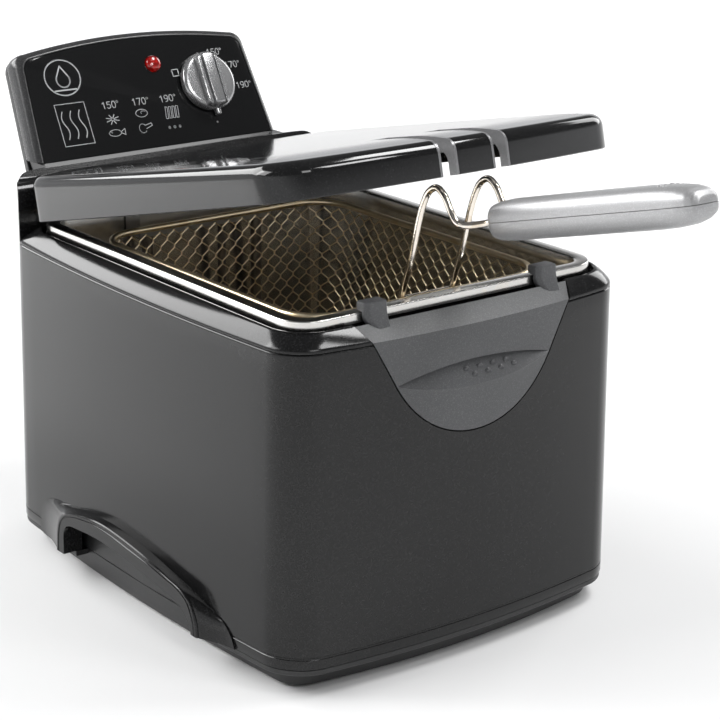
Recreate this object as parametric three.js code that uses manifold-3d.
// Rectangular cold-zone deep fryer, in millimetres: +X right, +Z up, front towards -Y.
// It is built with y = 0 at the front edge of the oil pot's rim and z = 0 at the feet, and the
// finished group is then moved so that its origin is the bottom centre of its box.
import * as THREE from 'three';
import { mergeVertices } from 'three/addons/utils/BufferGeometryUtils.js';
import Module from 'manifold-3d';

const wasm = await Module();
wasm.setup();

// ---- driving dimensions -------------------------------------------------------------------

const clearance = 0.3;              // between pieces that touch
const runningGap = 0.5;             // between pieces that move past each other
const deg = Math.PI / 180;

const rimWidth = 210;               // oil pot rim, outside
const rimDepth = 262;
const rimTop = 201;                 // height above the bench
const rimDrop = 5.2;                // turned-down edge of the rim
const rimCorner = 19;
const flange = 8;                   // flat width of the rim
const potWall = 1.2;
const potBottom = 46;
const potTaper = 10;                // how far the pot's walls lean in, at its bottom

const shoulderMargin = 9.4;         // housing side beyond the rim, at the seam
const housingHalf = rimWidth / 2 + shoulderMargin;
const wide = housingHalf + 90;      // half-width of cutting blocks that pass right through
const frontMargin = 6.9;
const rearMargin = 14.8;
const sideBow = 6.2;
const endBow = 10.3;
const housingCorner = 18.5;
const seamHeight = rimTop - 14;
const skirtHeight = 15;
const skirtFlare = 2.4;
const housingWall = 2.6;
const plinthInset = 8.6;
const footHeight = 1.5;
const footRadius = 9;

const lidOpenAngle = 14;            // how far the lid stands open at rest
const hingeY = rimDepth + 4;
const hingeZ = rimTop + 14;
const pinRadius = 2;
const earRadius = 6.5;
const earWidth = 8;
const earOffset = rimWidth / 2 - 13;
const lidFront = -2;                // y of the lid's front corners when it is shut
const lidBack = rimDepth - 5;
const lidBow = 15;
const lidBottom = rimTop - 2.1;
const lidFrontHeight = 19.5;
const lidRearHeight = 27;
const lidWall = 2.2;
const lidCorner = 19;

const wireSpacing = 35;             // between the two handle wires
const wireRadius = 1.8;
const slotWidth = 9;                // clear width of the lid's wire slots
const slotBack = 36;                // y where the slots end
const trimWall = 1.5;

const headTilt = 28.6;
const headY = rimDepth + 23.4;                // foot of the control face
const headZ = rimTop + 23.9;
const headHalf = 84.6;
const headTopHalf = 79.5;
const headHeight = 75;
const headDepth = 22;
const frontShellDepth = 12;
const knobRadius = 19;
const knobHeight = 17;
const knobX = 45.3;
const knobUp = 39.5;
const lampX = 10.6;
const lampUp = 56;
const lampRadius = 5.2;
const shaftRadius = 3;

const bracketHalf = 48;             // steel bracket that hooks the element over the pot's rear rim
const towerFront = rimDepth + 0.6;
const towerLow = rimTop + 21.5;
const towerTop = rimTop + 26;
const towerStep = rimDepth + 11;

const latchTopHalf = 72.5;
const latchHalf = 66.3;
const latchBottomHalf = 52.5;
const latchLow = rimTop - 38.5;              // height where the latch's round end starts
const latchTop = rimTop - 5;
const latchCrease = seamHeight;
const latchBottom = rimTop - 71;
const latchThick = 3.5;
const latchPivotY = -9.5;
const latchPivotZ = latchBottom + 7;
const hookOffset = 58.5;
const hookWidth = 13.5;
const hookTop = rimTop + 5.8;
const hookReach = 3.5;

const basketHalf = rimWidth / 2 - 21;
const basketFront = 21;
const basketBack = rimDepth - 34;
const basketTop = rimTop - 9.5;
const basketBottom = 81;
const basketTaper = 7;
const basketSkin = 1.4;
const rimWireRadius = 2;
const frameWireRadius = 1.5;

const elementRadius = 3.5;
const gripLength = 144;
const gripWidth = 25;
const gripHeight = 21;
const gripSlope = 15;

// ---- shape helpers --------------------------------------------------------------------------

const vec = (x, y, z) => new THREE.Vector3(x, y, z);

// A rounded rectangle whose sides, front and back bow outwards, as a ring of 2-D points.
function bowedOutline(half, front, back, bows, radius, arcSteps = 5, sideSteps = 4) {
  const [bowSide, bowFront, bowBack] = bows;
  const middle = (front + back) / 2;
  const depth = (back - front) / 2;
  const corners = [[1, -1, -90], [1, 1, 0], [-1, 1, 90], [-1, -1, 180]];
  const points = [];
  for (const [sx, sy, start] of corners) {
    for (let i = 0; i <= arcSteps; i += 1) {
      const angle = (start + 90 * i / arcSteps) * deg;
      points.push([
        sx * (half - radius) + radius * Math.cos(angle),
        sy * (depth - radius) + radius * Math.sin(angle)]);
    }
    const [endX, endY] = points[points.length - 1];
    const alongX = start === 0 || start === 180;
    for (let i = 1; i < sideSteps; i += 1) {
      const t = 1 - 2 * i / sideSteps;
      points.push(alongX ? [endX * t, endY] : [endX, endY * t]);
    }
  }
  return points.map(([x, y]) => {
    const u = x / half;
    const v = y / depth;
    const bowEnd = v < 0 ? bowFront : bowBack;
    return new THREE.Vector2(x + bowSide * (1 - v * v) * u, middle + y + bowEnd * (1 - u * u) * v);
  });
}

// The housing's plan outline, grown outwards by a margin.
function housingOutline(grow) {
  const half = housingHalf + grow;
  const radius = Math.max(housingCorner + grow, 4);
  const bows = [sideBow, endBow, endBow];
  return bowedOutline(half, -frontMargin - grow, rimDepth + rearMargin + grow, bows, radius);
}

function rimOutline(grow) {
  const radius = Math.max(rimCorner + grow, 4);
  return bowedOutline(rimWidth / 2 + grow, -grow, rimDepth + grow, [0, 0, 0], radius);
}

const ring = (outline, z) => outline.map((p) => vec(p.x, p.y, typeof z === 'function' ? z(p.y) : z));

// A closed skin over a row of rings with equally many points. A looped row has no caps.
function loft(rings, looped = false) {
  const count = rings[0].length;
  const positions = rings.flat().flatMap((p) => [p.x, p.y, p.z]);
  const indices = [];
  const spans = looped ? rings.length : rings.length - 1;
  for (let r = 0; r < spans; r += 1) {
    for (let i = 0; i < count; i += 1) {
      const a = r * count + i;
      const b = r * count + (i + 1) % count;
      const c = ((r + 1) % rings.length) * count + i;
      const d = ((r + 1) % rings.length) * count + (i + 1) % count;
      indices.push(a, b, d, a, d, c);
    }
  }
  if (!looped) {
    const last = (rings.length - 1) * count;
    const caps = (list) => {
      const contour = list.map((p) => new THREE.Vector2(p.x, p.y));
      const faces = THREE.ShapeUtils.triangulateShape(contour, []);
      return THREE.ShapeUtils.isClockWise(contour) ? faces.map(([a, b, c]) => [a, c, b]) : faces;
    };
    for (const [a, b, c] of caps(rings[0])) indices.push(c, b, a);
    for (const [a, b, c] of caps(rings[rings.length - 1])) indices.push(last + a, last + b, last + c);
  }
  return outwards(positions, indices);
}

// A geometry whose triangles are turned so that its volume is positive.
function outwards(positions, indices) {
  let volume = 0;
  const p = (i) => vec(positions[3 * i], positions[3 * i + 1], positions[3 * i + 2]);
  for (let i = 0; i < indices.length; i += 3) {
    volume += p(indices[i]).dot(p(indices[i + 1]).cross(p(indices[i + 2])));
  }
  const turned = [...indices];
  if (volume < 0) {
    for (let i = 0; i < turned.length; i += 3) {
      [turned[i], turned[i + 1]] = [turned[i + 1], turned[i]];
    }
  }
  const geometry = new THREE.BufferGeometry();
  geometry.setAttribute('position', new THREE.Float32BufferAttribute(positions, 3));
  geometry.setIndex(turned);
  return geometry;
}

// A loft through rings that stand across the Y axis instead of lying level.
function loftAcross(rings, looped = false) {
  const level = loft(rings.map((r) => r.map((p) => vec(p.x, p.z, p.y))), looped);
  const { array } = level.attributes.position;
  const positions = [];
  for (let i = 0; i < array.length; i += 3) positions.push(array[i], array[i + 2], array[i + 1]);
  return outwards(positions, Array.from(level.index.array));
}

function block(x0, x1, y0, y1, z0, z1) {
  const geometry = new THREE.BoxGeometry(x1 - x0, y1 - y0, z1 - z0);
  return geometry.translate((x0 + x1) / 2, (y0 + y1) / 2, (z0 + z1) / 2);
}

// A cylinder along an axis letter, between two places on that axis.
function rod(axis, radius, from, to, a, b, sides = 16) {
  const geometry = new THREE.CylinderGeometry(radius, radius, to - from, sides);
  const middle = (from + to) / 2;
  if (axis === 'x') return geometry.rotateZ(90 * deg).translate(middle, a, b);
  if (axis === 'y') return geometry.translate(a, middle, b);
  return geometry.rotateX(90 * deg).translate(a, b, middle);
}

// A round bar along a smooth curve through points.
function wire(points, radius, sides = 8, steps = 40) {
  const section = new THREE.Shape();
  for (let i = 0; i < sides; i += 1) {
    const angle = 2 * Math.PI * i / sides;
    const [x, y] = [radius * Math.cos(angle), radius * Math.sin(angle)];
    if (i) section.lineTo(x, y);
    else section.moveTo(x, y);
  }
  const path = new THREE.CatmullRomCurve3(points, false, 'centripetal');
  return new THREE.ExtrudeGeometry(section, { steps, extrudePath: path, bevelEnabled: false });
}

// A round bar that follows a level closed outline.
function hoop(outline, z, radius, sides = 8) {
  const rings = outline.map((p, i) => {
    const before = outline[(i + outline.length - 1) % outline.length];
    const after = outline[(i + 1) % outline.length];
    const out = new THREE.Vector2(after.y - before.y, before.x - after.x).normalize();
    return Array.from({ length: sides }, (unused, k) => {
      const angle = 2 * Math.PI * k / sides;
      const side = radius * Math.cos(angle);
      return vec(p.x + out.x * side, p.y + out.y * side, z + radius * Math.sin(angle));
    });
  });
  return loft(rings, true);
}

function solid(geometry) {
  const bare = geometry.clone();
  for (const name of Object.keys(bare.attributes)) {
    if (name !== 'position') bare.deleteAttribute(name);
  }
  const merged = mergeVertices(bare, 1e-4);
  return new wasm.Manifold(new wasm.Mesh({
    numProp: 3,
    vertProperties: Float32Array.from(merged.attributes.position.array),
    triVerts: Uint32Array.from(merged.index.array),
  }));
}

function geometryOf(manifold) {
  const mesh = manifold.getMesh();
  const geometry = new THREE.BufferGeometry();
  geometry.setAttribute('position', new THREE.BufferAttribute(mesh.vertProperties, 3));
  geometry.setIndex(new THREE.BufferAttribute(mesh.triVerts, 1));
  return geometry;
}

const join = (...list) => geometryOf(list.map(solid).reduce((a, b) => a.add(b)));
const cut = (body, ...tools) => geometryOf(tools.map(solid).reduce((a, b) => a.subtract(b), solid(body)));
const common = (a, b) => geometryOf(solid(a).intersect(solid(b)));

// A flat outline drawn in X and Z, given thickness along Y.
function plateXZ(points, y0, y1) {
  const shape = new THREE.Shape(points.map(([x, z]) => new THREE.Vector2(x, z)));
  const geometry = new THREE.ExtrudeGeometry(shape, { depth: y1 - y0, bevelEnabled: false });
  return geometry.rotateX(90 * deg).translate(0, y1, 0);
}

// A flat outline drawn in Y and Z, given thickness along X.
function plateYZ(points, x0, x1) {
  const shape = new THREE.Shape(points.map(([y, z]) => new THREE.Vector2(y, z)));
  const geometry = new THREE.ExtrudeGeometry(shape, { depth: x1 - x0, bevelEnabled: false });
  return geometry.rotateX(90 * deg).rotateZ(90 * deg).translate(x0, 0, 0);
}

const paint = {
  glossBlack: [0x0c0c0d, 0.18, 0.0],
  mattGrey: [0x4b4c4e, 0.6, 0.0],
  darkPlastic: [0x1b1b1c, 0.5, 0.0],
  steel: [0xc8c6c0, 0.28, 1.0],
  chrome: [0xd8c8a4, 0.15, 1.0],
  silver: [0xa6a7a9, 0.4, 0.2],
  red: [0xb01208, 0.2, 0.0],
  rubber: [0x151515, 0.9, 0.0],
  felt: [0x77756e, 0.95, 0.0],
};

function part(name, geometry, [color, roughness, metalness]) {
  const mesh = new THREE.Mesh(geometry, new THREE.MeshStandardMaterial({ color, roughness, metalness }));
  mesh.name = name;
  return mesh;
}

const fryer = new THREE.Group();
const lid = new THREE.Group();
const head = new THREE.Group();
const grip = new THREE.Group();
fryer.add(lid, head, grip);

// ---- housing --------------------------------------------------------------------------------

// Lower ring at the skirt, upper ring at the seam.
const skirtRing = (grow, z = skirtHeight) => ring(housingOutline(skirtFlare + grow), z);
const seamRing = (grow, z = seamHeight) => ring(housingOutline(grow), z);

// Carry grips: each side wall flares out from an arched crease to a lip, with a finger space below.
// Each arch is a list of distances from the grip's rear end, as shares of its length, and heights.
const gripBack = rimDepth - 64;
const gripFront = 63;
const fingerRise = 44.5;
const archAlong = (arch) => arch.map(([share, z]) => [gripBack - share * (gripBack - gripFront), z]);
const gripCrease = archAlong([
  [-0.311, 15.2], [-0.296, 30], [-0.252, 37], [-0.052, 42.7], [0.17, 46], [0.356, 47.3],
  [0.567, 45.2], [0.837, 38.3], [1.022, 32.5], [1.141, 27], [1.193, 21], [1.215, 15.2]]);
const gripEdge = archAlong([
  [-0.067, 15.2], [-0.059, 28], [-0.037, 36], [0.015, 41.5], [0.17, 46.5], [0.341, 48.5],
  [0.652, 44.7], [0.83, 40.5], [0.926, 38], [0.993, 33.5], [1.033, 24], [1.044, 15.2]]);
const gripOpening = archAlong([
  [0, 7], [0.007, 30], [0.037, 34.5], [0.311, 38], [0.637, 34], [0.822, 31], [0.948, 26.5],
  [0.993, 20], [1, 7]]);
const lipX = housingHalf + 15.2;     // outer face of the grips
const lipWall = 2.6;

function gripLip(side) {
  const standing = (points, x) => points.map(([y, z]) => vec(z, side * x, y));
  return loftAcross([
    standing(gripCrease, lipX - 12.6), standing(gripCrease, lipX - 8.6), standing(gripEdge, lipX),
  ]).rotateZ(-90 * deg).rotateX(-90 * deg);
}

// The finger space: an opening through the lip, and a higher hollow behind it.
function fingerSpace(side) {
  const hollow = gripOpening.map(([y, z]) => [y, z > 7 ? z + fingerRise - 38 : z]);
  const span = (from, to) => (side < 0 ? [-to, -from] : [from, to]);
  return join(
    plateYZ(gripOpening, ...span(lipX - 24, lipX + 5)),
    plateYZ(hollow, ...span(lipX - 24, lipX - lipWall)));
}

// Outline of the front latch, grown all round by a gap.
function latchOutline(gap) {
  const points = [[-latchTopHalf - gap, latchTop + gap], [-latchHalf - gap, latchCrease]];
  const steps = 12;
  for (let i = 0; i <= steps; i += 1) {
    const angle = (180 + 180 * i / steps) * deg;
    points.push([
      (latchBottomHalf + gap) * Math.cos(angle),
      latchLow + (latchLow - latchBottom + gap) * Math.sin(angle)]);
  }
  points.push([latchHalf + gap, latchCrease], [latchTopHalf + gap, latchTop + gap]);
  return points;
}

const latchHole = plateXZ(latchOutline(0.8), -60, 0);

const shell = loft([
  skirtRing(0), seamRing(0), seamRing(-housingWall), skirtRing(-housingWall),
], true);
fryer.add(part('housing_shell', cut(
  join(shell, gripLip(-1), gripLip(1)), fingerSpace(-1), fingerSpace(1), latchHole,
), paint.glossBlack));

// Shoulder bezel: slopes from the seam up to a collar that carries the pot's rim.
const collarOut = -2.2;
const collarIn = -5.6;
const collarTop = rimTop - potWall - clearance;
const brow = 4.5;                   // margin of the bezel's top edge beyond the rim
const browTop = rimTop - 4.5;
const bezelRing = loft([
  ring(housingOutline(0), seamHeight + clearance),
  ring(housingOutline(0), seamHeight + 1.6),
  ring(rimOutline(brow), browTop),
  ring(rimOutline(brow - 1.2), browTop),
  ring(rimOutline(brow - 1.6), browTop - 4),
  ring(rimOutline(collarOut), browTop - 4),
  ring(rimOutline(collarOut), collarTop),
  ring(rimOutline(collarIn), collarTop),
  ring(rimOutline(collarIn), seamHeight + clearance),
], true);
const rearCut = block(-wide, wide, towerFront - clearance, rimDepth + 140, 100, rimTop + 100);
fryer.add(part('shoulder_bezel', cut(bezelRing, latchHole, rearCut), paint.glossBlack));

// Rear tower: raised rear of the housing, which carries the lid hinge and docks the control head.
const towerSide = plateYZ([
  [towerFront, seamHeight + clearance], [towerFront, towerLow - 3.5], [towerFront + 3.5, towerLow],
  [towerStep, towerLow], [towerStep + 3, towerTop], [rimDepth + 58, towerTop],
  [rimDepth + 58, seamHeight + clearance],
], -housingHalf - 40, housingHalf + 40);
const towerBlank = loft([
  ring(housingOutline(0), seamHeight + clearance), ring(housingOutline(0), towerTop - 3),
  ring(housingOutline(-3), towerTop),
]);
const dockLow = rimTop + 3;
// The dock's back leans with the control head's rear shell, a clearance in front of it.
const dockBack = (z) => {
  const lean = Math.tan(headTilt * deg);
  return headY + (frontShellDepth - clearance) / Math.cos(headTilt * deg) + (z - headZ) * lean;
};
const dock = plateYZ([
  [towerStep + 5, dockLow], [dockBack(dockLow), dockLow], [dockBack(towerTop), towerTop],
  [towerStep + 5, towerTop],
], -headHalf - 2, headHalf + 2);
const towerHollow = block(
  -housingHalf + 18, housingHalf - 18, towerFront + 12, towerStep + 7, seamHeight - 5, towerTop - 6);
const wireway = block(-40, 40, towerStep + 5, rimDepth + 58, dockLow + 4, towerTop - 6);
const earPocket = (x) => block(
  x - earWidth / 2 - runningGap, x + earWidth / 2 + runningGap,
  hingeY - 20, hingeY + earRadius + 1, hingeZ - earRadius - 1.5, hingeZ + 25);
const pinBore = (x) => rod('x', pinRadius + clearance, x - 11, x + 11, hingeY, hingeZ);
const bracketPass = block(
  -bracketHalf - 1, bracketHalf + 1, towerFront - 5, towerFront + 14, rimTop + 0.2, rimTop + 4);
fryer.add(part('rear_tower', cut(
  join(common(towerBlank, towerSide), dock), towerHollow, wireway, bracketPass,
  earPocket(-earOffset), earPocket(earOffset), pinBore(-earOffset), pinBore(earOffset),
), paint.glossBlack));
for (const [name, x] of [['hinge_pin_left', -earOffset], ['hinge_pin_right', earOffset]]) {
  fryer.add(part(name, rod('x', pinRadius, x - 10.5, x + 10.5, hingeY, hingeZ), paint.steel));
}

// Base pan: a plinth with a flange that the housing stands on, cut away below the grips.
const plinthGrow = skirtFlare - plinthInset;
const plinthWall = 2.4;
const flangeTop = skirtHeight - clearance;
const floorTop = footHeight + 2.6;
const pan = loft([
  ring(housingOutline(plinthGrow - 2), footHeight),
  ring(housingOutline(plinthGrow), footHeight + 3),
  ring(housingOutline(plinthGrow), flangeTop),
  ring(housingOutline(plinthGrow - plinthWall), flangeTop),
  ring(housingOutline(plinthGrow - plinthWall), floorTop),
]);
const panFlange = loft([
  ring(housingOutline(plinthGrow - 1), flangeTop - 3),
  ring(housingOutline(skirtFlare - 0.6), flangeTop - 3),
  ring(housingOutline(skirtFlare - 0.6), flangeTop),
  ring(housingOutline(plinthGrow - 1), flangeTop),
], true);
const footX = rimWidth / 2 - 19;
const footPlaces = [[-footX, 22], [footX, 22], [-footX, rimDepth - 14], [footX, rimDepth - 14]];
const screwRadius = 1.5;
const screwX = (x) => x - 16 * Math.sign(x);
const screwHoles = footPlaces.map(([x, y]) => rod('z', screwRadius + clearance, 0, 10, screwX(x), y, 12));
fryer.add(part('base_pan', cut(
  join(pan, cut(panFlange, fingerSpace(-1), fingerSpace(1))), ...screwHoles), paint.darkPlastic));

// Finger pocket: closes the space behind each grip, above the plinth.
function fingerPocket(side) {
  const low = flangeTop + clearance;
  const high = fingerRise + 5;
  const shellIn = skirtFlare * (seamHeight - high) / (seamHeight - skirtHeight) - housingWall - clearance;
  const lining = loft([
    ring(housingOutline(plinthGrow - plinthWall), low),
    ring(housingOutline(plinthGrow), low),
    ring(housingOutline(plinthGrow), high - 1.6),
    ring(housingOutline(shellIn), high - 1.6),
    ring(housingOutline(shellIn), high),
    ring(housingOutline(plinthGrow - plinthWall), high),
  ], true);
  const keep = side < 0 ? [-wide, -wide / 4] : [wide / 4, wide];
  return common(lining, block(...keep, gripFront - 6, gripBack + 6, 0, 100));
}
fryer.add(part('finger_pocket_left', fingerPocket(-1), paint.darkPlastic));
fryer.add(part('finger_pocket_right', fingerPocket(1), paint.darkPlastic));

const places = ['front_left', 'front_right', 'rear_left', 'rear_right'];
footPlaces.forEach(([x, y], i) => {
  const foot = rod('z', footRadius, 0, footHeight - clearance, x, y, 20);
  fryer.add(part(`foot_${places[i]}`, foot, paint.rubber));
  const screw = join(
    rod('z', screwRadius, 0.6, 9, screwX(x), y, 12),
    rod('z', 3, 0.4, footHeight - clearance, screwX(x), y, 12));
  fryer.add(part(`base_screw_${places[i]}`, screw, paint.steel));
});

// ---- oil pot --------------------------------------------------------------------------------

const potTop = (grow) => rimOutline(-flange + grow);
const potLow = (grow) => rimOutline(-flange - potTaper + grow);
fryer.add(part('oil_pot', loft([
  ring(potLow(-8), potBottom - potWall),
  ring(potLow(potWall), potBottom + 7),
  ring(potTop(potWall), rimTop - 12),
  ring(potTop(potWall), rimTop - potWall),
  ring(rimOutline(-potWall), rimTop - potWall),
  ring(rimOutline(-potWall), rimTop - rimDrop),
  ring(rimOutline(0), rimTop - rimDrop),
  ring(rimOutline(0), rimTop - 0.6),
  ring(rimOutline(-0.8), rimTop),
  ring(potTop(0.8), rimTop),
  ring(potTop(0), rimTop - 0.8),
  ring(potTop(0), rimTop - 12),
  ring(potLow(0), potBottom + 8),
  ring(potLow(-8), potBottom),
]), paint.steel));

// ---- front latch ----------------------------------------------------------------------------

// Solid of the housing's outside, seam and shoulder included, for pieces that lie flush with it.
const outside = (grow) => loft([
  skirtRing(grow), seamRing(grow), ring(housingOutline(grow), seamHeight + 1.6),
  ring(rimOutline(brow + grow), browTop),
]);
const latchSkin = common(cut(outside(0), outside(-latchThick)), plateXZ(latchOutline(0), -60, 0));

function hook(side) {
  const x = side * hookOffset;
  const profile = [
    [-11, latchCrease + 3.5], [-8, latchTop + 0.5], [-5, latchTop + 2.6], [-5, hookTop],
    [hookReach, hookTop], [hookReach, rimTop + 1.2], [-1, rimTop + 1.2], [-1, latchTop - 2],
    [-7, latchCrease + 3.5],
  ];
  return plateYZ(profile, x - hookWidth / 2, x + hookWidth / 2);
}

function ledge() {
  const shape = new THREE.Shape();
  shape.absellipse(0, 0, latchBottomHalf - 3, 8, 0, Math.PI * 2);
  const geometry = new THREE.ExtrudeGeometry(shape, { depth: 6, bevelEnabled: false, curveSegments: 10 });
  return geometry.translate(0, -frontMargin - endBow + 2, latchBottom + 23);
}
const lugBore = (x) => rod('x', pinRadius + clearance, x - 4, x + 4, latchPivotY, latchPivotZ);
const lug = (x) => cut(
  block(x - 3, x + 3, -15.2, latchPivotY + 4, latchPivotZ - 4, latchPivotZ + 4), lugBore(x));
fryer.add(part('front_latch', join(
  latchSkin, hook(-1), hook(1), ledge(), lug(-17), lug(17),
), paint.mattGrey));

const pinSeat = (x) => cut(
  block(x - 2.5, x + 2.5, latchPivotY - 3, latchPivotY + 8, latchPivotZ - 4, latchPivotZ + 4),
  rod('x', pinRadius + clearance, x - 3, x + 3, latchPivotY, latchPivotZ));
const bracketFoot = (x) => common(
  block(x - 7, x + 7, -30, latchPivotY + 8, latchPivotZ - 27, latchPivotZ - 13),
  outside(-housingWall - clearance));
fryer.add(part('latch_bracket', join(
  pinSeat(-34), pinSeat(34),
  block(-36.5, 36.5, latchPivotY + 6, latchPivotY + 8, latchPivotZ - 20, latchPivotZ + 4),
  block(-70, 70, latchPivotY + 6, latchPivotY + 8, latchPivotZ - 27, latchPivotZ - 13),
  bracketFoot(-63), bracketFoot(63),
), paint.darkPlastic));
fryer.add(part('latch_pin', rod('x', pinRadius, -36.4, 36.4, latchPivotY, latchPivotZ), paint.steel));

function coilSpring(length, turns, radius, thickness) {
  const steps = turns * 10;
  const points = Array.from({ length: steps + 1 }, (unused, i) => {
    const angle = 2 * Math.PI * i / 10;
    return vec(-length / 2 + length * i / steps, radius * Math.cos(angle), radius * Math.sin(angle));
  });
  return wire(points, thickness, 6, steps * 2).translate(0, latchPivotY, latchPivotZ);
}
fryer.add(part('latch_spring', coilSpring(12, 5, pinRadius + 0.4 + clearance, 0.4), paint.steel));

// ---- basket ---------------------------------------------------------------------------------

const basketOutline = (grow) => bowedOutline(
  basketHalf + grow, basketFront - grow, basketBack + grow, [0, 0, 0], Math.max(24 + grow, 4), 6, 3);
fryer.add(part('basket_mesh', loft([
  ring(basketOutline(-basketTaper), basketBottom),
  ring(basketOutline(0), basketTop),
  ring(basketOutline(-basketSkin), basketTop),
  ring(basketOutline(-basketTaper - basketSkin), basketBottom + basketSkin),
]), paint.chrome));
const rimWireZ = basketTop + rimWireRadius + clearance;
const rimWire = hoop(basketOutline(-basketSkin / 2), rimWireZ, rimWireRadius);
fryer.add(part('basket_rim_wire', rimWire, paint.chrome));
const frameZ = basketBottom - frameWireRadius - clearance;
const baseFrame = hoop(basketOutline(-basketTaper - 13), frameZ, frameWireRadius, 6);
fryer.add(part('basket_base_frame', baseFrame, paint.chrome));

// Handle wires: each leg rises and leans forward, loops over, dips and runs into the grip.
const rest = basketFront + basketSkin / 2 + rimWireRadius + clearance + wireRadius;
function handleWire(side) {
  const x = side * wireSpacing / 2;
  const inner = side * 7.5;
  return wire([
    vec(x, rest + 0.6, -25.2), vec(x, rest + 0.2, rimWireZ - rimTop), vec(x, 18.5, 15), vec(x, 9.8, 46),
    vec(x, 4.5, 55.5), vec(x, -1.6, 58.6), vec(x, -7.6, 55.6), vec(x, -13.2, 48), vec(x, -18.6, 43.2),
    vec(side * 15.6, -23, 42.9), vec(side * 10.4, -28, 43.9), vec(inner, -33, 45.53),
    vec(inner, -38, 46.87), vec(inner, -44, 48.48),
  ], wireRadius, 8, 52).translate(0, 0, rimTop);
}
fryer.add(part('handle_wire_left', handleWire(-1), paint.chrome));
fryer.add(part('handle_wire_right', handleWire(1), paint.chrome));
const crossHalf = wireSpacing / 2 - wireRadius - clearance;
const crossWire = rod('x', 1.4, -crossHalf, crossHalf, rest + 0.2, rimWireZ, 10);
fryer.add(part('handle_cross_wire', crossWire, paint.chrome));

// Two-part grip on the wires' ends, in a frame whose -Y axis runs out along the grip.
grip.position.set(0, -33, rimTop + 45.4);
grip.rotation.x = -gripSlope * deg;
function gripHalf(top) {
  const sign = top ? 1 : -1;
  const sections = [[0, 0.72, 0.72], [4, 0.92, 0.9], [12, 1, 1], [gripLength - 34, 1, 1],
    [gripLength - 16, 0.98, top ? 0.72 : 1], [gripLength - 5, 0.78, 0.5], [gripLength, 0.4, 0.22]];
  const rings = sections.map(([along, wide, high]) => {
    const points = [];
    for (let i = 0; i <= 8; i += 1) {
      const angle = Math.PI * i / 8;
      const x = gripWidth / 2 * wide * Math.sign(Math.cos(angle)) * Math.abs(Math.cos(angle)) ** 0.7;
      const z = gripHeight / 2 * high * Math.sin(angle) ** 0.7;
      points.push(vec(x, -along, sign * (z + clearance / 2)));
    }
    return points;
  });
  return loftAcross(rings);
}
const wireHole = (side) => rod('y', wireRadius + 0.5, -13, 5, side * 7.5, 0.13, 16);
grip.add(part('grip_upper', cut(gripHalf(true), wireHole(-1), wireHole(1)), paint.silver));
grip.add(part('grip_lower', cut(gripHalf(false), wireHole(-1), wireHole(1)), paint.silver));

// ---- heating element --------------------------------------------------------------------------

const legX = 40;
const legY = rimDepth - flange - 12;
const legTop = rimTop - 15.3;
const elementZ = frameZ - frameWireRadius - clearance - elementRadius;
const halfLoop = [
  [legX, legY, legTop], [legX, legY, elementZ + 56], [legX, legY, elementZ + 24],
  [legX + 3, legY - 5, elementZ + 8],
  [legX + 10, legY - 18, elementZ + 1.5], [legX + 19, legY - 34, elementZ], [62, legY - 52, elementZ],
  [62, 130, elementZ], [62, 76, elementZ], [55, 58, elementZ], [43, 51, elementZ], [31, 58, elementZ],
  [24, 76, elementZ], [24, 130, elementZ], [24, legY - 56, elementZ], [17, legY - 39, elementZ],
];
const element = [
  ...halfLoop.map(([x, y, z]) => vec(-x, y, z)), vec(0, legY - 33, elementZ),
  ...halfLoop.reverse().map(([x, y, z]) => vec(x, y, z)),
];
fryer.add(part('heating_element', wire(element, elementRadius, 8, 110), paint.steel));

const bracketZ = rimTop + clearance;
fryer.add(part('element_bracket', join(
  block(-bracketHalf, bracketHalf, legY - 5, rimDepth - flange - 1, legTop + clearance, bracketZ + 1.5),
  block(
    -bracketHalf + 4, bracketHalf - 4, rimDepth - flange - 4, towerFront + 13, bracketZ, bracketZ + 1.5),
), paint.steel));
fryer.add(part('thermostat_probe', rod('z', 2.5, 96, legTop, 14, legY, 12), paint.steel));

// ---- control head -------------------------------------------------------------------------------

head.position.set(0, headY, headZ);
head.rotation.x = -headTilt * deg;
head.updateMatrixWorld(true);
const toHead = head.matrixWorld.clone().invert();

// Outline of the control face in its own X and height, grown sideways and upwards.
function faceOutline(grow, low = -22) {
  const points = [];
  const corner = 8;
  const shoulderX = headTopHalf - corner + 0.5;
  const shoulderUp = headHeight - 6;
  for (let i = 0; i <= 3; i += 1) {
    const angle = 90 * i / 3 * deg;
    points.push([
      shoulderX + corner * Math.cos(angle), shoulderUp - corner + corner * Math.sin(angle)]);
  }
  for (let i = 3; i >= -3; i -= 1) {
    const x = shoulderX * i / 4;
    points.push([x, headHeight - 6 * (x / shoulderX) ** 2]);
  }
  for (let i = 3; i >= 0; i -= 1) {
    const angle = 90 * i / 3 * deg;
    points.push([
      -shoulderX - corner * Math.cos(angle), shoulderUp - corner + corner * Math.sin(angle)]);
  }
  points.push([-headHalf, 0], [-headHalf - 1, low], [headHalf + 1, low], [headHalf, 0]);
  return points.map(([x, up]) => [
    x * (headHalf + grow) / headHalf, up > 0 ? up * (headHeight + grow) / headHeight : up]);
}

// Rings that stand on the control face, at a depth behind it.
const faceRing = (grow, depth) => faceOutline(grow).map(([x, up]) => vec(x, depth, up));
const belowHead = (top) => (
  block(-wide, wide, rimDepth - 62, rimDepth + 138, rimTop - 101, top).applyMatrix4(toHead));
const aboveTower = belowHead(towerTop + clearance);

const panelThick = 2.2;
fryer.updateMatrixWorld(true);
const frontShell = loftAcross([
  faceRing(-0.6, 0), faceRing(0, 0), faceRing(3.6, 3.5), faceRing(4.4, frontShellDepth),
  faceRing(2, frontShellDepth), faceRing(1.2, 4), faceRing(-0.6, 3),
], true);
head.add(part('head_front_shell', cut(frontShell, aboveTower), paint.darkPlastic));

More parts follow.
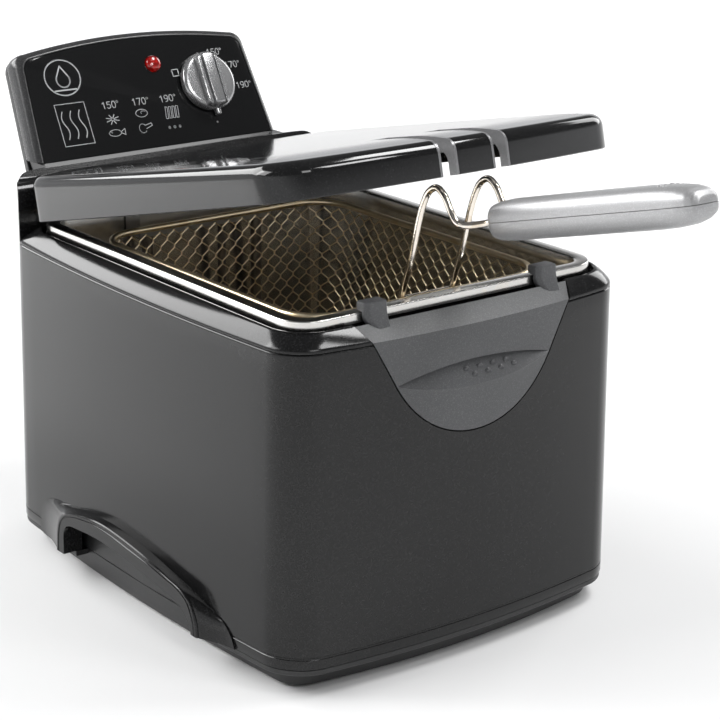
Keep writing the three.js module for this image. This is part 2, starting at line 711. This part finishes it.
const shaftHole = rod('y', shaftRadius + clearance, -1, 4, knobX, knobUp, 16);
const lampHole = rod('y', lampRadius + clearance, -1, 4, lampX, lampUp, 16);
const panel = loftAcross([faceRing(-0.9, 0.2), faceRing(-0.9, 0.2 + panelThick)]);
head.add(part('control_panel', cut(panel, aboveTower, shaftHole, lampHole), paint.glossBlack));

const rearInner = headDepth - 2.5;
const buttonX = -60;
const buttonUp = 12;
const glandX = 60;
const rearShell = loftAcross([
  faceRing(1.6, rearInner), faceRing(1.6, frontShellDepth + clearance),
  faceRing(3.8, frontShellDepth + clearance), faceRing(3.8, 16), faceRing(-1.5, headDepth),
]);
head.add(part('head_rear_shell', cut(
  rearShell, belowHead(dockLow + 1),
  rod('y', 4.4, 18, 24, buttonX, buttonUp, 16), rod('y', 5.3, 18, 24, glandX, buttonUp, 16),
), paint.darkPlastic));

head.add(part('indicator_lens', join(
  rod('y', lampRadius, -1, 5, lampX, lampUp, 16),
  new THREE.SphereGeometry(lampRadius, 16, 8).scale(1, 0.4, 1).translate(lampX, -1, lampUp),
), paint.red));
const lampHolder = rod('y', lampRadius + 2, 5 + clearance, 14, lampX, lampUp, 16);
head.add(part('lamp_holder', lampHolder, paint.darkPlastic));

const knobBase = -clearance;
const knobFront = knobBase - knobHeight;
const knobDisc = rod('y', knobRadius, knobBase - 8, knobBase, knobX, knobUp, 32);
const knobBar = common(
  rod('y', knobRadius - 0.6, knobFront, knobBase - 6, knobX, knobUp, 32),
  block(knobX - 7, knobX + 7, knobFront - 1, knobBase, knobUp - 30, knobUp + 30));
const pointer = block(
  knobX - 2, knobX + 2, knobBase - 7, knobBase - 1, knobUp - knobRadius - 3.4, knobUp - knobRadius + 3);
const shaftFront = knobBase - 6;
const knobSocket = rod('y', shaftRadius + clearance, shaftFront - clearance, 1, knobX, knobUp, 16);
head.add(part('temperature_knob', cut(join(knobDisc, knobBar, pointer), knobSocket), paint.silver));
head.add(part('thermostat_shaft', rod('y', shaftRadius, shaftFront, 4, knobX, knobUp, 16), paint.steel));
head.add(part('thermostat_body', rod('y', 13, 4 + clearance, 18, knobX, knobUp, 20), paint.darkPlastic));
head.add(part('terminal_block', block(-34, 4, 9, rearInner - clearance, 12, 34), paint.darkPlastic));

const buttonFlange = rearInner - clearance;
head.add(part('reset_button', join(
  rod('y', 4, buttonFlange - 4, headDepth + 2.5, buttonX, buttonUp, 16),
  rod('y', 6, buttonFlange - 2, buttonFlange, buttonX, buttonUp, 16),
), paint.red));
head.add(part('cord_gland', join(
  rod('y', 5, 17, headDepth + 9, glandX, buttonUp, 16),
  rod('y', 7.5, headDepth + 1, headDepth + 4, glandX, buttonUp, 16),
), paint.rubber));

// ---- lid ------------------------------------------------------------------------------------------

// The lid is drawn shut, then hung on its hinge axis and turned open.
lid.position.set(0, hingeY, hingeZ);
lid.rotation.x = -lidOpenAngle * deg;
const hang = (geometry) => geometry.translate(0, -hingeY, -hingeZ);

const lidCrown = 2;
const lidTop = (y) => {
  const t = (y - lidFront) / (lidBack - lidFront);
  return lidBottom + lidFrontHeight + (lidRearHeight - lidFrontHeight) * t;
};
const lidOutline = (grow) => bowedOutline(
  housingHalf + grow, lidFront - grow, lidBack + grow, [3, lidBow, 0], Math.max(lidCorner + grow, 4), 5, 6);
const lidSolid = (grow, bottom = lidBottom) => loft([
  ring(lidOutline(grow), bottom),
  ring(lidOutline(grow), (y) => lidTop(y) - 7 + grow),
  ring(lidOutline(grow - 2.2), (y) => lidTop(y) - 2 + grow),
  ring(lidOutline(grow - 7), (y) => lidTop(y) + grow),
  ring(lidOutline(grow - 34), (y) => lidTop(y) + lidCrown + grow),
]);

const slotHalf = slotWidth / 2;
const slotBlock = (side, margin) => block(
  side * wireSpacing / 2 - slotHalf - margin, side * wireSpacing / 2 + slotHalf + margin,
  -60, slotBack + margin, rimTop - 51, rimTop + 59);

// Plan outline of the vent cover: full width at the rear, its front edge sweeping back to the right.
const ventHalf = 82;
const ventFront = lidBack - 107;
const ventBack = lidBack - 15;
const ventSweep = [
  [-1, 0.1], [-0.97, 0.03], [-0.9, 0], [-0.78, 0.03], [-0.66, 0.13], [-0.52, 0.29], [-0.35, 0.45],
  [-0.15, 0.56], [0.1, 0.66], [0.4, 0.755], [0.7, 0.835], [0.92, 0.885], [1, 0.92]];
function ventOutline(margin) {
  const edge = ventSweep.map(([x, share]) => [x * ventHalf, ventFront + share * (ventBack - ventFront)]);
  const all = [...edge, [ventHalf, ventBack], [-ventHalf, ventBack]];
  return all.map(([x, y], i) => {
    const [px, py] = all[(i + all.length - 1) % all.length];
    const [nx, ny] = all[(i + 1) % all.length];
    const before = new THREE.Vector2(x - px, y - py).normalize();
    const after = new THREE.Vector2(nx - x, ny - y).normalize();
    const reach = margin / Math.max(1 + before.dot(after), 0.6);
    return [x - (before.y + after.y) * reach, y + (before.x + after.x) * reach];
  });
}
function ventBlock(margin) {
  const shape = new THREE.Shape(ventOutline(margin).map(([x, y]) => new THREE.Vector2(x, y)));
  const geometry = new THREE.ExtrudeGeometry(shape, { depth: 110, bevelEnabled: false });
  return geometry.translate(0, 0, rimTop - 51);
}
const rimNotch = block(
  -rimWidth / 2 - 2.5, rimWidth / 2 + 2.5, rimDepth - 18, rimDepth, rimTop - 11, rimTop + 2.2);
const bracketNotch = block(
  -bracketHalf - 2, bracketHalf + 2, rimDepth - 12, rimDepth, rimTop - 11, rimTop + 4.5);
const ear = (x) => join(
  rod('x', earRadius, x - earWidth / 2, x + earWidth / 2, hingeY, hingeZ, 20),
  block(x - earWidth / 2, x + earWidth / 2, lidBack - lidWall, hingeY, hingeZ - 5, hingeZ + 5));
const earBore = (x) => rod('x', pinRadius + clearance, x - 12, x + 12, hingeY, hingeZ);
const lidShell = cut(
  join(cut(lidSolid(0), lidSolid(-lidWall, lidBottom - 4)), ear(-earOffset), ear(earOffset)),
  slotBlock(-1, trimWall + clearance), slotBlock(1, trimWall + clearance), ventBlock(0),
  rimNotch, bracketNotch, earBore(-earOffset), earBore(earOffset));
lid.add(part('lid_shell', hang(lidShell), paint.glossBlack));

const trimDepth = 6;
for (const [name, side] of [['slot_trim_left', -1], ['slot_trim_right', 1]]) {
  const band = cut(lidSolid(0), lidSolid(-trimDepth, lidBottom - 4));
  lid.add(part(name, hang(cut(common(band, slotBlock(side, trimWall)), slotBlock(side, 0))), paint.silver));
}

const ventCover = common(cut(lidSolid(0), lidSolid(-2, lidBottom - 4)), ventBlock(clearance));

// Where the swept edge crosses a given depth.
function sweepAt(y) {
  const share = (y - ventFront) / (ventBack - ventFront);
  const i = ventSweep.findIndex(([x, reach]) => x > -0.8 && reach > share);
  const [[x0, s0], [x1, s1]] = [ventSweep[i - 1], ventSweep[i]];
  return ventHalf * (x0 + (x1 - x0) * (share - s0) / (s1 - s0));
}
const ventSlots = Array.from({ length: 10 }, (unused, i) => {
  const y = ventBack - 14 - i * 7;
  return block(-ventHalf + 9, sweepAt(y) - 9, y, y + 2.4, rimTop, rimTop + 59);
});
lid.add(part('vent_cover', hang(cut(ventCover, ...ventSlots)), paint.darkPlastic));
const padBlock = ventBlock(3);
lid.add(part('filter_pad', hang(common(
  cut(lidSolid(-2 - clearance, lidBottom - 4), lidSolid(-6.5, lidBottom - 8)), padBlock)), paint.felt));

const linerDrop = 9.5;
const linerGrow = -lidWall - clearance;
const liner = cut(
  loft([
    ring(lidOutline(linerGrow), (y) => lidTop(y) - linerDrop - 1.4),
    ring(lidOutline(linerGrow), (y) => lidTop(y) - linerDrop),
  ]),
  block(-wide, wide, -60, slotBack + 8, rimTop - 51, rimTop + 59),
  block(-66, 10, lidBack - 62, lidBack - 27, rimTop - 51, rimTop + 59));
lid.add(part('lid_liner', hang(liner), paint.steel));

// ---- origin at the bottom centre of the box ---------------------------------------------------

fryer.updateMatrixWorld(true);
const bounds = new THREE.Box3().setFromObject(fryer, true);
fryer.position.set(0, -(bounds.min.y + bounds.max.y) / 2, -bounds.min.z);

export default fryer;
